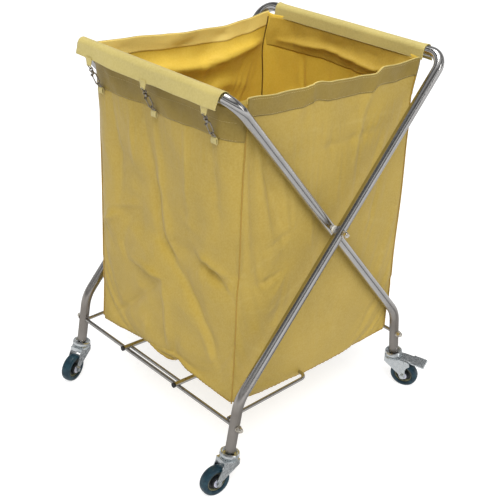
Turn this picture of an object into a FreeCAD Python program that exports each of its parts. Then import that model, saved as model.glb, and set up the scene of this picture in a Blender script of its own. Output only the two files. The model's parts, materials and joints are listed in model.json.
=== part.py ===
import FreeCAD, Part
import Sketcher
import math
import os

# Folding linen trolley: two crossed bent-tube frames on four swivel casters, a sliding
# base frame of thin rods, and a cloth bag hung over the two top rails.
# Millimetres.  +Z up, +Y to the back, -X to the left.  Origin on the floor, midway
# between the four legs.  The inner frame runs from the left rail to the right casters,
# and the outer frame from the right rail to the left casters.

V = FreeCAD.Vector
X_AXIS, Y_AXIS, Z_AXIS = V(1, 0, 0), V(0, 1, 0), V(0, 0, 1)

SIZES = {
    # bent tube frames
    "tube_diameter": 25, "tube_wall": 1.5, "rail_height": 936, "rail_reach": 316,
    "knee_height": 235, "knee_reach": 295, "foot_height": 104, "foot_reach": 315,
    "inner_depth": 272, "outer_depth": 303, "corner_bend": 40, "knee_bend": 90,
    # bolts and acorn nuts
    "bolt_diameter": 8, "bolt_clearance": 0.1, "nut_corners": 15, "nut_height": 7,
    "dome_radius": 6.2, "head_height": 4.8, "spacer_diameter": 20, "washer_height": 1.5,
    "washer_rim": 1.5, "thread_length": 8,
    # sliding base
    "rod_height": 169, "rod_diameter": 10, "loop_diameter": 9, "loop_length": 258,
    "loop_depth": 281, "loop_bend": 18, "loop_rise": 4.2, "arm_diameter": 12,
    "arm_wall": 1, "arm_depth": 103, "arm_overhang": 15, "crossbar_diameter": 8,
    "arm_root": 6, "crossbar_inset": 5, "cap_length": 5, "cap_lip": 0.5, "touch_gap": 0.3,
    # cloth bag and its two rail flaps
    "cloth": 2, "bag_depth": 252, "bag_top_reach": 302, "bag_foot_reach": 272,
    "bag_top": 912, "bag_foot": 188, "hem_height": 42, "band_cloth": 1.5,
    "side_band_low": 838, "side_band_high": 881, "flap_radius": 15.6, "flap_cloth": 1.6,
    "flap_drop": 23, "flap_spare": 20, "band_proud": 4,
    "left_flap_depth": 240, "right_flap_depth": 248,
    # straps, rings and snap hooks
    "hook_pitch": 200, "strap_width": 20, "tab_reach": 36.7, "tab_cloth": 1.6,
    "tab_length": 30, "webbing": 2, "webbing_length": 16, "chain_drop": 38.5,
    "chain_clear": 1.2, "chain_foot": 5, "chain_stand": 5.2,
    "ring_wire": 2.2, "ring_width": 18, "ring_length": 14, "ring_corner": 2.5,
    "ring_apex": 3.6, "link_gap": 0.1, "eye_radius": 4.2, "barrel_reach": 10.1,
    "barrel_radius": 3.6, "barrel_length": 7, "barrel_bore": 5, "hook_wire": 3,
    "hook_half_width": 5, "shoulder_gap": 2.3, "post_length": 6.5, "nose_rise": 3.9,
    # casters, in their own frame: stem axis up, trail along +x, leg end at zero
    "stem_radius": 5, "socket_length": 40, "head_radius": 24, "crown_top": 16.3,
    "plate": 2.5, "kingpin_radius": 6, "fork_inner": 30, "trail": 32, "axle_drop": 71,
    "axle_radius": 4, "wheel_radius": 37.5, "wheel_width": 25, "rim_radius": 25,
    "tread_flat": 4, "boss_radius": 14.5, "pedal_x": 34, "pedal_drop": 24, "pedal_pin": 2.5,
}

doc = FreeCAD.newDocument("linen_trolley")
sheet = doc.addObject("Spreadsheet::Sheet", "sizes")
for row, (alias, value) in enumerate(SIZES.items(), 1):
    sheet.set("A%d" % row, alias)
    sheet.set("B%d" % row, str(value))
    sheet.setAlias("B%d" % row, alias)
doc.recompute()

S = type("Sizes", (), {alias: float(value) for alias, value in SIZES.items()})
NODES = []


# ---------------------------------------------------------------- document helpers

def bind(obj, **formulas):
    """Tie properties of a document object to cells of the sheet."""
    for prop, formula in formulas.items():
        obj.setExpression(prop, formula)
    return obj


def node(obj, label, placement=None):
    """Name a finished sub-part, which is also its file name, and place it."""
    obj.Label = label
    if placement is not None:
        obj.Placement = placement
    NODES.append(obj)
    return obj


def along(direction, base=V(), about=None):
    """Placement that turns local +Z to a direction, and local +X towards about."""
    if about is None:
        return FreeCAD.Placement(base, FreeCAD.Rotation(Z_AXIS, direction))
    side = direction.cross(about)
    return FreeCAD.Placement(base, FreeCAD.Rotation(about, side, direction, "ZXY"))


def cylinder(radius, height, base, direction=Z_AXIS):
    obj = doc.addObject("Part::Cylinder", "cylinder")
    bind(obj, Radius=radius, Height=height)
    obj.Placement = along(direction, base)
    return obj


def hexagon(corners, height, base, direction=Z_AXIS):
    """Hexagonal prism, measured across its corners."""
    obj = doc.addObject("Part::Prism", "hexagon")
    bind(obj, Circumradius="(%s) / 2" % corners, Height=height)
    obj.Placement = along(direction, base)
    return obj


def box(length, width, height, base):
    obj = doc.addObject("Part::Box", "box")
    bind(obj, Length=length, Width=width, Height=height)
    obj.Placement = FreeCAD.Placement(base, FreeCAD.Rotation())
    return obj


def fuse(shapes):
    obj = doc.addObject("Part::MultiFuse", "fused")
    obj.Shapes = shapes
    return obj


def cut(base, tool):
    obj = doc.addObject("Part::Cut", "cut")
    obj.Base, obj.Tool = base, tool
    return obj


def group(solids):
    """Separate solids that share one node."""
    obj = doc.addObject("Part::Compound", "group")
    obj.Links = solids
    return obj


def rounded_path(corners, radii, closed=False):
    """Wire of straight runs joined by tangent arcs, one radius for each corner."""
    count = len(corners)
    starts, ends = list(corners), list(corners)
    arcs = [None] * count
    for i in range(count):
        if not closed and i in (0, count - 1):
            continue
        here, before, after = corners[i], corners[i - 1], corners[(i + 1) % count]
        back, ahead = (before - here).normalize(), (after - here).normalize()
        half = back.getAngle(ahead) / 2
        reach = radii[i] / math.tan(half)
        middle = (back + ahead).normalize() * (radii[i] / math.sin(half) - radii[i])
        starts[i], ends[i] = here + back * reach, here + ahead * reach
        arcs[i] = Part.Arc(starts[i], here + middle, ends[i]).toShape()
    edges = []
    for i in range(count if closed else count - 1):
        if arcs[i] is not None:
            edges.append(arcs[i])
        edges.append(Part.LineSegment(ends[i], starts[(i + 1) % count]).toShape())
    return Part.Wire(edges), ends[0], (starts[1 % count] - ends[0])


def bent_bar(diameter, corners, radii, closed=False):
    """Round bar swept along straight runs and arcs."""
    wire, start, run = rounded_path(corners, radii, closed)
    if closed:
        start = start + run * 0.5
        first = Part.LineSegment(start, start + run * 0.5).toShape()
        last = Part.LineSegment(start - run * 0.5, start).toShape()
        middle = [e for e in wire.Edges if (e.CenterOfMass - start).Length > 1e-6]
        wire = Part.Wire(Part.__sortEdges__([first] + middle + [last]))
    path = doc.addObject("Part::Feature", "path")
    path.Shape = wire
    section = doc.addObject("Part::Circle", "section")
    bind(section, Radius="(%s) / 2" % diameter)
    section.Placement = along(run, start)
    sweep = doc.addObject("Part::Sweep", "bent")
    sweep.Sections = [section]
    sweep.Spine = (path, ["Edge%d" % (i + 1) for i in range(len(wire.Edges))])
    sweep.Solid = True
    sweep.Frenet = False
    return sweep


def new_body():
    return doc.addObject("PartDesign::Body", "body")


def outline(body, plane, points):
    """Closed polygon sketch whose corners are set by formulas of the sheet."""
    sketch = body.newObject("Sketcher::SketchObject", "outline")
    origin = [o for o in body.Origin.OriginFeatures if o.Role == plane][0]
    sketch.AttachmentSupport = [(origin, "")]
    sketch.MapMode = "FlatFace"
    count = len(points)
    ring = [V(math.cos(2 * math.pi * i / count), math.sin(2 * math.pi * i / count), 0)
            for i in range(count)]
    for i in range(count):
        sketch.addGeometry(Part.LineSegment(ring[i] * 50, ring[(i + 1) % count] * 50), False)
    joints = []
    for i in range(count):
        joints.append(Sketcher.Constraint("Coincident", i, 2, (i + 1) % count, 1))
    sketch.addConstraint(joints)
    for i, (across, up) in enumerate(points):
        for kind, formula in (("DistanceX", across), ("DistanceY", up)):
            index = sketch.addConstraint(Sketcher.Constraint(kind, -1, 1, i, 1, 10.0))
            sketch.setExpression("Constraints[%d]" % index, formula)
    return sketch


def pad(body, sketch, length, symmetric=True):
    feature = body.newObject("PartDesign::Pad", "pad")
    feature.Profile = sketch
    bind(feature, Length=length)
    feature.Midplane = symmetric
    return feature


def revolve(body, sketch):
    feature = body.newObject("PartDesign::Revolution", "turned")
    feature.Profile = sketch
    feature.ReferenceAxis = (sketch, ["V_Axis"])
    feature.Angle = 360
    return feature


def pocket(body, sketch, length):
    feature = body.newObject("PartDesign::Pocket", "pocket")
    feature.Profile = sketch
    bind(feature, Length=length)
    feature.Midplane = True
    return feature


def circle_sketch(body, plane, radius, across, up):
    """Sketch of one circle, its radius and centre set by formulas of the sheet."""
    sketch = body.newObject("Sketcher::SketchObject", "circle")
    origin = [o for o in body.Origin.OriginFeatures if o.Role == plane][0]
    sketch.AttachmentSupport = [(origin, "")]
    sketch.MapMode = "FlatFace"
    sketch.addGeometry(Part.Circle(V(5, 5, 0), Z_AXIS, 3), False)
    for args, formula in ((("Radius", 0, 3.0), radius),
                          (("DistanceX", -1, 1, 0, 3, 5.0), across),
                          (("DistanceY", -1, 1, 0, 3, 5.0), up)):
        index = sketch.addConstraint(Sketcher.Constraint(*args))
        sketch.setExpression("Constraints[%d]" % index, formula)
    return sketch


# ---------------------------------------------------------------- bent tube frames

def mirrored(point, side):
    return V(point.x * side, point.y, point.z)


def leg_points(depth, side):
    """Centre-line corners of a frame whose rail is at -X when side is 1."""
    corners = [V(S.foot_reach, -depth, S.foot_height), V(S.knee_reach, -depth, S.knee_height),
               V(-S.rail_reach, -depth, S.rail_height), V(-S.rail_reach, depth, S.rail_height),
               V(S.knee_reach, depth, S.knee_height), V(S.foot_reach, depth, S.foot_height)]
    return [mirrored(p, side) for p in corners]


PIVOT_HEIGHT = S.rail_height - S.rail_reach * (
    (S.rail_height - S.knee_height) / (S.rail_reach + S.knee_reach))
LEAN = math.atan2(S.foot_reach - S.knee_reach, S.knee_height - S.foot_height)
ROD_REACH = S.knee_reach + (S.knee_height - S.rod_height) * math.tan(LEAN)
BOLT_HOLE = "(sizes.bolt_diameter + sizes.bolt_clearance) / 2"


def cross_hole(x, y, z):
    """Tool that drills one leg from side to side, along Y."""
    span = S.tube_diameter + 10
    return cylinder(BOLT_HOLE, "sizes.tube_diameter + 10", V(x, y - span / 2, z), Y_AXIS)


def frame_tube(label, depth, side):
    """A single tube: rail across the top, two crossing legs, two knees."""
    corners = leg_points(depth, side)
    radii = [0, S.knee_bend, S.corner_bend, S.corner_bend, S.knee_bend, 0]
    outside = bent_bar("sizes.tube_diameter", corners, radii)
    inside = bent_bar("sizes.tube_diameter - 2 * sizes.tube_wall", corners, radii)
    tools = [inside]
    for y in (-depth, depth):
        tools.append(cross_hole(0, y, PIVOT_HEIGHT))
        tools.append(cross_hole(side * ROD_REACH, y, S.rod_height))
    node(cut(outside, fuse(tools)), label)


frame_tube("inner_frame_tube", S.inner_depth, 1)
frame_tube("outer_frame_tube", S.outer_depth, -1)


# ---------------------------------------------------------------- bolts and acorn nuts

def acorn_nut(x, y, z, facing):
    """Closed nut on a flat washer; facing is the outward direction along Y."""
    axis = Y_AXIS * facing
    seat = V(x, y, z)
    face = seat + axis * S.washer_height
    washer = cylinder("sizes.nut_corners / 2 + sizes.washer_rim", "sizes.washer_height", seat, axis)
    body = hexagon("sizes.nut_corners", "sizes.nut_height", face, axis)
    dome = doc.addObject("Part::Sphere", "dome")
    bind(dome, Radius="sizes.dome_radius")
    dome.Placement = FreeCAD.Placement(face + axis * S.nut_height, FreeCAD.Rotation())
    bore = cylinder("sizes.bolt_diameter / 2", "sizes.nut_height + 4", seat - axis * 2, axis)
    return cut(fuse([washer, body, dome]), bore)


def pivot_set():
    """Two crossing bolts: head inside, nylon spacer between the tubes, nut outside."""
    bolts, spacers, nuts = [], [], []
    inner_face = S.inner_depth - S.tube_diameter / 2
    middle = S.inner_depth + S.tube_diameter / 2
    outer_face = S.outer_depth + S.tube_diameter / 2
    for facing in (-1, 1):
        axis = Y_AXIS * facing
        head_at = V(0, facing * inner_face, PIVOT_HEIGHT)
        head = hexagon("sizes.nut_corners", "sizes.head_height", head_at, axis * -1)
        through = "sizes.outer_depth - sizes.inner_depth + sizes.tube_diameter"
        shank = cylinder("sizes.bolt_diameter / 2", through + " + sizes.thread_length",
                         head_at, axis)
        bolts.append(fuse([head, shank]))
        spacer_at = V(0, facing * middle, PIVOT_HEIGHT)
        ring = "sizes.outer_depth - sizes.inner_depth - sizes.tube_diameter - sizes.touch_gap"
        spacers.append(cut(cylinder("sizes.spacer_diameter / 2", ring, spacer_at, axis),
                           cylinder(BOLT_HOLE, ring, spacer_at, axis)))
        nuts.append(acorn_nut(0, facing * (outer_face + S.touch_gap), PIVOT_HEIGHT, facing))
    node(group(bolts), "pivot_bolts")
    node(group(spacers), "pivot_spacers")
    node(group(nuts), "pivot_nuts")


pivot_set()


# ---------------------------------------------------------------- sliding base frame

def long_rod(label, side, depth):
    """Bar between two legs, turned down at both ends to pass through them."""
    between = "2 * (%s - sizes.tube_diameter / 2 - sizes.touch_gap)" % depth
    through = "2 * (%s + sizes.tube_diameter / 2 + sizes.thread_length)" % depth
    reach = getattr(S, depth.split(".")[1])
    half = reach - S.tube_diameter / 2 - S.touch_gap
    whole = reach + S.tube_diameter / 2 + S.thread_length
    x = side * ROD_REACH
    bar = cylinder("sizes.rod_diameter / 2", between, V(x, -half, S.rod_height), Y_AXIS)
    stub = cylinder("sizes.bolt_diameter / 2", through, V(x, -whole, S.rod_height), Y_AXIS)
    node(fuse([bar, stub]), label)


def rod_nuts(label, side, depth):
    outer = depth + S.tube_diameter / 2 + S.touch_gap
    x = side * ROD_REACH
    node(group([acorn_nut(x, f * outer, S.rod_height, f) for f in (-1, 1)]), label)


long_rod("left_base_rod", -1, "sizes.outer_depth")
long_rod("right_base_rod", 1, "sizes.inner_depth")
rod_nuts("left_rod_nuts", -1, S.outer_depth)
rod_nuts("right_rod_nuts", 1, S.inner_depth)


def base_loop():
    """U-shaped rod welded on the left rod; its closed end rests on the sliding arms."""
    low = S.rod_height + (S.rod_diameter + S.loop_diameter) / 2
    high = low + S.loop_rise
    start, end = -ROD_REACH, -ROD_REACH + S.loop_length
    corners = [V(start, -S.loop_depth, low), V(end, -S.loop_depth, high),
               V(end, S.loop_depth, high), V(start, S.loop_depth, low)]
    bends = [0, S.loop_bend, S.loop_bend, 0]
    node(bent_bar("sizes.loop_diameter", corners, bends), "left_base_loop")


base_loop()

# The arms leave the underside of the right rod and pass over the left rod.
ARM_LOW = S.rod_height - (S.rod_diameter + S.arm_diameter) / 2
ARM_HIGH = S.rod_height + (S.rod_diameter + S.arm_diameter) / 2 + S.touch_gap
ARM_DIRECTION = V(-2 * ROD_REACH, 0, ARM_HIGH - ARM_LOW).normalize()
ARM_START = V(ROD_REACH, 0, ARM_LOW) - ARM_DIRECTION * S.arm_root
ARM_LENGTH = 2 * ROD_REACH + S.arm_root + S.arm_overhang


def sliding_arms():
    """Two tubes under the right rod, a bar between their far ends, and end caps."""
    arms, caps = [], []
    length = "%.6f" % ARM_LENGTH
    for side in (-1, 1):
        start = ARM_START + Y_AXIS * (side * S.arm_depth)
        outer = cylinder("sizes.arm_diameter / 2", length, start, ARM_DIRECTION)
        bore = cylinder("sizes.arm_diameter / 2 - sizes.arm_wall", length, start,
                        ARM_DIRECTION)
        arms.append(cut(outer, bore))
        tip = start + ARM_DIRECTION * ARM_LENGTH
        plug = cylinder("sizes.arm_diameter / 2 - sizes.arm_wall", "2 * sizes.cap_length",
                        tip - ARM_DIRECTION * (2 * S.cap_length), ARM_DIRECTION)
        head = cylinder("sizes.arm_diameter / 2 + sizes.cap_lip", "sizes.cap_length", tip,
                        ARM_DIRECTION)
        caps.append(fuse([plug, head]))
    gap = "2 * (sizes.arm_depth - sizes.arm_diameter / 2)"
    along_arm = ARM_LENGTH - S.arm_overhang - S.crossbar_inset
    at = ARM_START + ARM_DIRECTION * along_arm
    at.y = -(S.arm_depth - S.arm_diameter / 2)
    arms.append(cylinder("sizes.crossbar_diameter / 2", gap, at, Y_AXIS))
    node(group(arms), "right_base_arms")
    node(group(caps), "arm_end_caps")


sliding_arms()


# ---------------------------------------------------------------- cloth bag

SLOPE = (S.bag_top_reach - S.bag_foot_reach) / (S.bag_top - S.bag_foot)


def side_reach(height):
    """Outer half width of the bag at a height."""
    return S.bag_foot_reach + (height - S.bag_foot) * SLOPE


INSIDE_TOP = "(sizes.bag_top_reach - sizes.cloth)"
INSIDE_FOOT = "(sizes.bag_foot_reach - sizes.cloth)"


def side_band(sign):
    """Binding strip sewn on the outside of a side panel, below the rail flap."""
    corners = []
    for height in ("sizes.side_band_low", "sizes.side_band_high"):
        skin = "%s(sizes.bag_foot_reach + (%s - sizes.bag_foot) * %.6f" % (sign, height, SLOPE)
        corners.append((skin + " - 0.5)", height))
        corners.append((skin + " + sizes.band_cloth)", height))
    corners = [corners[0], corners[1], corners[3], corners[2]]
    body = new_body()
    pad(body, outline(body, "XZ_Plane", corners), "2 * sizes.bag_depth")
    return body


def bag_panels():
    wall = [("-" + INSIDE_FOOT, "sizes.bag_foot"), (INSIDE_FOOT, "sizes.bag_foot"),
            (INSIDE_TOP, "sizes.bag_top"), ("-" + INSIDE_TOP, "sizes.bag_top")]
    for label, facing in (("bag_front_panel", -1), ("bag_back_panel", 1)):
        body = new_body()
        pad(body, outline(body, "XZ_Plane", wall), "sizes.cloth")
        middle = V(0, facing * (S.bag_depth - S.cloth / 2), 0)
        node(body, label, FreeCAD.Placement(middle, FreeCAD.Rotation()))
    for label, sign in (("bag_left_panel", "-"), ("bag_right_panel", "")):
        slab = [(sign + "sizes.bag_foot_reach", "sizes.bag_foot"),
                (sign + "sizes.bag_top_reach", "sizes.bag_top"),
                (sign + INSIDE_TOP, "sizes.bag_top"), (sign + INSIDE_FOOT, "sizes.bag_foot")]
        body = new_body()
        pad(body, outline(body, "XZ_Plane", slab), "2 * sizes.bag_depth")
        node(fuse([body, side_band(sign)]), label)
    foot = box("2 * (sizes.bag_foot_reach - sizes.cloth - 0.5)",
               "2 * (sizes.bag_depth - sizes.cloth)", "sizes.cloth",
               V(-(S.bag_foot_reach - S.cloth - 0.5), -(S.bag_depth - S.cloth), S.bag_foot))
    node(foot, "bag_bottom")


bag_panels()


def mouth_bands():
    """Binding strips along the front and back edges of the bag's mouth."""
    strips = []
    low = S.bag_top + S.band_proud - S.hem_height
    reach = side_reach(low)
    for y in (-S.bag_depth - S.band_cloth, S.bag_depth):
        strips.append(box("%.3f" % (2 * reach), "sizes.band_cloth", "sizes.hem_height",
                          V(-reach, y, low)))
    node(group(strips), "bag_mouth_bands")


mouth_bands()


def arch(radius, half_width, side, length):
    """Half-round tunnel over a rail with two straight skirts below it."""
    x, foot = side * S.rail_reach, S.rail_height - S.flap_drop - S.flap_spare
    tunnel = cylinder(radius, "%.3f" % length, V(x, -length / 2, S.rail_height), Y_AXIS)
    skirts = box("2 * (%s)" % radius, "%.3f" % length, "sizes.flap_drop + sizes.flap_spare",
                 V(x - half_width, -length / 2, foot))
    return fuse([tunnel, skirts])


def rail_flap(label, side, depth):
    """Cloth folded over a rail like an upturned U: an outer arch less an inner one."""
    outer = arch("sizes.flap_radius", S.flap_radius, side, 2 * depth)
    inner = arch("sizes.flap_radius - sizes.flap_cloth", S.flap_radius - S.flap_cloth, side,
                 2 * depth + 2)
    low = S.rail_height - S.flap_drop
    trim = box("4 * sizes.flap_radius", "%.3f" % (2 * depth + 10), "2 * sizes.flap_spare",
               V(side * S.rail_reach - 2 * S.flap_radius, -depth - 5,
                 low - 2 * S.flap_spare))
    node(cut(cut(outer, inner), trim), label)


rail_flap("left_rail_flap", -1, S.left_flap_depth)
rail_flap("right_rail_flap", 1, S.right_flap_depth)


# ---------------------------------------------------------------- straps, rings, hooks

# Each chain hangs from the flap's outer edge and slants in to the bag's side band.
CHAIN_TOP = V(-(S.rail_reach + S.flap_radius + S.chain_clear), 0, S.rail_height - S.chain_drop)
CHAIN_LOW = S.side_band_low + S.chain_foot
CHAIN_FOOT = V(-(side_reach(CHAIN_LOW) + S.chain_stand), 0, CHAIN_LOW)
CHAIN_LENGTH = (CHAIN_FOOT - CHAIN_TOP).Length


def chain_placement(side, y):
    """Local +Z runs up the chain, +X points away from the bag, origin at the top ring."""
    up = V(CHAIN_TOP.x - CHAIN_FOOT.x, 0, CHAIN_TOP.z - CHAIN_FOOT.z)
    up = V(-side * up.x, 0, up.z).normalize()
    away = V(up.z * side, 0, -up.x * side)
    base = V(-side * CHAIN_TOP.x, y, CHAIN_TOP.z)
    return along(up, base, away)


def placed(obj, placement):
    obj.Placement = placement.multiply(obj.Placement)
    return obj


def ring(top):
    """Triangular wire ring; its wide side is at the strap."""
    wide = -1 if top else 1
    base = 0 if top else -CHAIN_LENGTH
    apex = base + wide * S.ring_length
    corners = [V(0, -S.ring_width / 2, base), V(0, S.ring_width / 2, base), V(0, 0, apex)]
    bends = [S.ring_corner, S.ring_corner, S.ring_apex]
    return bent_bar("sizes.ring_wire", corners, bends, closed=True)


# A link's wire lies inside its neighbour's, a hair clear of it.
APEX_HALF_ANGLE = math.atan2(S.ring_width / 2, S.ring_length)
APEX = S.ring_length - S.ring_apex / math.sin(APEX_HALF_ANGLE) + S.ring_apex
EYE_WIRE = S.hook_wire - 0.4
EYE_CENTRE = -APEX + (S.ring_wire + EYE_WIRE) / 2 + S.link_gap - S.eye_radius
BARREL_FOOT = EYE_CENTRE - S.barrel_reach
SHOULDER = BARREL_FOOT - S.shoulder_gap
BOW = -CHAIN_LENGTH + APEX - (S.ring_wire + S.hook_wire) / 2 - S.link_gap + S.hook_half_width
NOSE = BOW + S.nose_rise


def swivel_eye():
    """Eye linked to the upper ring, with the barrel that the hook turns in."""
    eye = doc.addObject("Part::Torus", "eye")
    bind(eye, Radius1="sizes.eye_radius", Radius2="sizes.hook_wire / 2 - 0.2")
    eye.Placement = along(Y_AXIS, V(0, 0, EYE_CENTRE))
    barrel = cylinder("sizes.barrel_radius", "sizes.barrel_length", V(0, 0, BARREL_FOOT))
    bore = cylinder("sizes.hook_wire / 2 + 0.05", "sizes.barrel_bore", V(0, 0, BARREL_FOOT))
    return cut(fuse([eye, barrel]), bore)


def snap_hook():
    """Hook that turns in the barrel: post, shoulder, spine, bow and open nose."""
    half = S.hook_half_width
    corners = [V(half, 0, SHOULDER), V(-half, 0, SHOULDER), V(-half, 0, BOW - half),
               V(half, 0, BOW - half), V(half, 0, NOSE)]
    wire = bent_bar("sizes.hook_wire", corners, [0, 3, half - 0.01, half - 0.01, 0])
    post = cylinder("sizes.hook_wire / 2", "sizes.post_length", V(0, 0, SHOULDER))
    pin = cylinder("0.8", "6", V(half - 0.2, -3, SHOULDER), Y_AXIS)
    return fuse([wire, post, pin])


def hook_gate():
    """Gate that closes the nose, on two ears round the shoulder pin."""
    x = S.hook_half_width - 0.2
    ears = []
    for y in (-2.9, 1.8):
        cheek = fuse([cylinder("1.9", "1.1", V(x, y, SHOULDER), Y_AXIS),
                      box("1.6", "1.1", "3", V(x - 0.8, y, SHOULDER - 3.2))])
        ears.append(cut(cheek, cylinder("0.85", "1.1", V(x, y, SHOULDER), Y_AXIS)))
    bridge = box("1.6", "5.8", "1.6", V(x - 0.8, -2.9, SHOULDER - 4))
    bar = cylinder("1.2", "%.4f" % (SHOULDER - 2.4 - NOSE - 0.3),
                   V(x, 0, NOSE + 0.3))
    return fuse(ears + [bridge, bar])


def straps(side):
    """Cloth tabs on the flap and the webbing loops that hold the lower rings."""
    tab_x = side * (S.rail_reach + S.flap_radius + 0.2)
    loop_low = S.side_band_low - S.webbing_length + 2
    loop_x = side * (side_reach(loop_low + S.webbing_length / 2 - 1) + S.band_cloth + 0.5)
    found = []
    for y in (-S.hook_pitch, 0, S.hook_pitch):
        found.append(box("sizes.tab_cloth", "sizes.strap_width", "sizes.tab_length",
                         V(min(tab_x, tab_x + side * S.tab_cloth), y - S.strap_width / 2,
                           S.rail_height - S.tab_reach)))
        found.append(box("sizes.webbing", "sizes.strap_width - 4", "sizes.webbing_length",
                         V(min(loop_x, loop_x + side * S.webbing),
                           y - S.strap_width / 2 + 2, loop_low)))
    return found


def hook_chains(name, side):
    eyes, rings = [], []
    for i, y in enumerate((-S.hook_pitch, 0, S.hook_pitch), 1):
        where = chain_placement(side, y)
        eyes.append(placed(swivel_eye(), where))
        rings.append(placed(ring(True), where))
        rings.append(placed(ring(False), where))
        node(placed(snap_hook(), where), "%s_snap_hook_%d" % (name, i))
        node(placed(hook_gate(), where), "%s_hook_gate_%d" % (name, i))
    node(group(eyes), name + "_hook_swivels")
    node(group(rings), name + "_hook_rings")
    node(group(straps(side)), name + "_hook_straps")


hook_chains("left", -1)
hook_chains("right", 1)


# ---------------------------------------------------------------- swivel casters

# name, side, back or front, how far the trail is turned from straight out (degrees,
# towards the front), braked or not
CASTERS = [("front_left", -1, -1, -6, False), ("back_left", -1, 1, 21, False),
           ("front_right", 1, -1, 70, True), ("back_right", 1, 1, -54, True)]


def caster_placement(side, back, turn):
    """Leg end, leg direction and trail direction, seated so that the wheel meets z = 0."""
    depth = S.outer_depth if side < 0 else S.inner_depth
    angle = math.radians(turn)
    up = V(-side * math.sin(LEAN), 0, math.cos(LEAN))
    out = V(side * math.cos(LEAN), 0, math.sin(LEAN))
    trail = out * math.cos(angle) - Y_AXIS * math.sin(angle)
    tilt = math.asin(math.sin(LEAN) * math.sin(angle))
    tread = S.wheel_radius * math.cos(tilt) + S.tread_flat * math.sin(abs(tilt))
    leg_end = V(side * S.foot_reach, back * depth, S.foot_height)
    low = leg_end.z - S.axle_drop * up.z + S.trail * trail.z - tread
    return along(up, leg_end - up * (low / up.z), trail)


def caster_socket():
    """Sleeve inside the leg that grips the stem."""
    outer = cylinder("sizes.tube_diameter / 2 - sizes.tube_wall - 0.05",
                     "sizes.socket_length", V(0, 0, 2))
    return cut(outer, cylinder("sizes.stem_radius + 0.05", "sizes.socket_length", V(0, 0, 2)))


def caster_head():
    """Stem, cupped race cover and riveted kingpin, turned about the stem axis."""
    body = new_body()
    # Radius and height of each corner of the half section, down from the stem's top.
    outline_points = [
        ("0", "36"), ("sizes.stem_radius", "36"), ("sizes.stem_radius", "-4"),
        ("15.5", "-4"), ("17", "-0.5"), ("19", "0.8"), ("22", "0.2"),
        ("sizes.head_radius", "-2.5"), ("sizes.head_radius", "-8"), ("22", "-11"),
        ("19", "-12.5"), ("18", "-16"), ("sizes.kingpin_radius", "-16"),
        ("sizes.kingpin_radius", "-19.2"), ("10", "-19.2"), ("10", "-21.5"), ("8", "-23"), ("0", "-23")]
    revolve(body, outline(body, "XZ_Plane", outline_points))
    return body


def fork(braked):
    """Crown disc and two tapering cheeks, with holes for kingpin, pedal pin and axle."""
    body = new_body()
    top, inside = "-sizes.crown_top", "-(sizes.crown_top + sizes.plate)"
    end = "-(sizes.axle_drop + 6.5)"
    rear = [("25", "-29")]
    if braked:
        rear = [("44", "-19"), ("50", "-24"), ("51", "-33"), ("43", "-40"), ("39", "-50")]
    cheek = [("-20", top), ("24", top)] + rear + [
        ("sizes.trail + 7.5", "-(sizes.axle_drop - 3)"), ("sizes.trail + 5", end),
        ("sizes.trail - 5", end), ("sizes.trail - 8", "-(sizes.axle_drop - 2)"), ("-21", "-31")]
    pad(body, outline(body, "XZ_Plane", cheek), "sizes.fork_inner + 2 * sizes.plate")
    floor = "-(sizes.axle_drop + 30)"
    gap = [("-40", floor), ("90", floor), ("90", inside), ("-40", inside)]
    pocket(body, outline(body, "XZ_Plane", gap), "sizes.fork_inner")
    if braked:
        slot = [("26.5", inside), ("90", inside), ("90", "0"), ("26.5", "0")]
        pocket(body, outline(body, "XZ_Plane", slot), "sizes.fork_inner")
        holes = circle_sketch(body, "XZ_Plane", "sizes.pedal_pin + 0.05", "sizes.pedal_x",
                              "-sizes.pedal_drop")
        pocket(body, holes, "60")
    axle = circle_sketch(body, "XZ_Plane", "sizes.axle_radius + 0.05", "sizes.trail",
                         "-sizes.axle_drop")
    pocket(body, axle, "60")
    disc = cylinder("sizes.head_radius", "sizes.plate", V(0, 0, -(S.crown_top + S.plate)))
    shapes = [body, disc]
    if not braked:
        shapes.append(box("sizes.plate", "sizes.fork_inner + 1", "10",
                          V(22, -(S.fork_inner + 1) / 2, -S.crown_top - 10)))
    hole = cylinder("sizes.kingpin_radius + 0.05", "6", V(0, 0, -S.crown_top - 4.5))
    return cut(fuse(shapes), hole)


def wheel_placement():
    """Wheel frame: its own +Z along the axle."""
    return along(Y_AXIS, V(S.trail, 0, -S.axle_drop), X_AXIS)


def tyre():
    body = new_body()
    rim, tread = "sizes.rim_radius", "sizes.wheel_radius"
    half = "sizes.wheel_width / 2"
    side = [(rim, "%s - 3" % half), (rim + " + 2.5", half + " - 0.4"),
            (tread + " - 7", half), (tread + " - 3.2", half + " - 1"),
            (tread + " - 1", half + " - 4"), (tread, "sizes.tread_flat")]
    profile = side + [(r, "-(%s)" % z) for r, z in reversed(side)]
    revolve(body, outline(body, "XZ_Plane", profile))
    return body


def hub():
    body = new_body()
    rim = "sizes.rim_radius - 0.05"
    boss, bore = "sizes.boss_radius", "sizes.axle_radius + 0.05"
    face = "sizes.fork_inner / 2 - 0.6"
    half = [(bore, face), (boss + " - 1.5", face), (boss, "%s - 1.5" % face),
            (boss, "4"), ("sizes.rim_radius - 4", "3.5"), ("sizes.rim_radius - 2.5", "8.5"),
            (rim, "8.5")]
    profile = half + [(r, "-(%s)" % z) for r, z in reversed(half)]
    revolve(body, outline(body, "XZ_Plane", profile))
    return body


def axle():
    """Wheel bolt with its head and nut outside the cheeks."""
    outside = S.fork_inner / 2 + S.plate
    at = V(S.trail, 0, -S.axle_drop)
    shank = cylinder("sizes.axle_radius", "sizes.fork_inner + 2 * sizes.plate + 10",
                     at - Y_AXIS * (outside + 5), Y_AXIS)
    ends = [hexagon("14", "4.5", at + Y_AXIS * (f * outside), Y_AXIS * f) for f in (-1, 1)]
    return fuse([shank] + ends)


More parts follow.
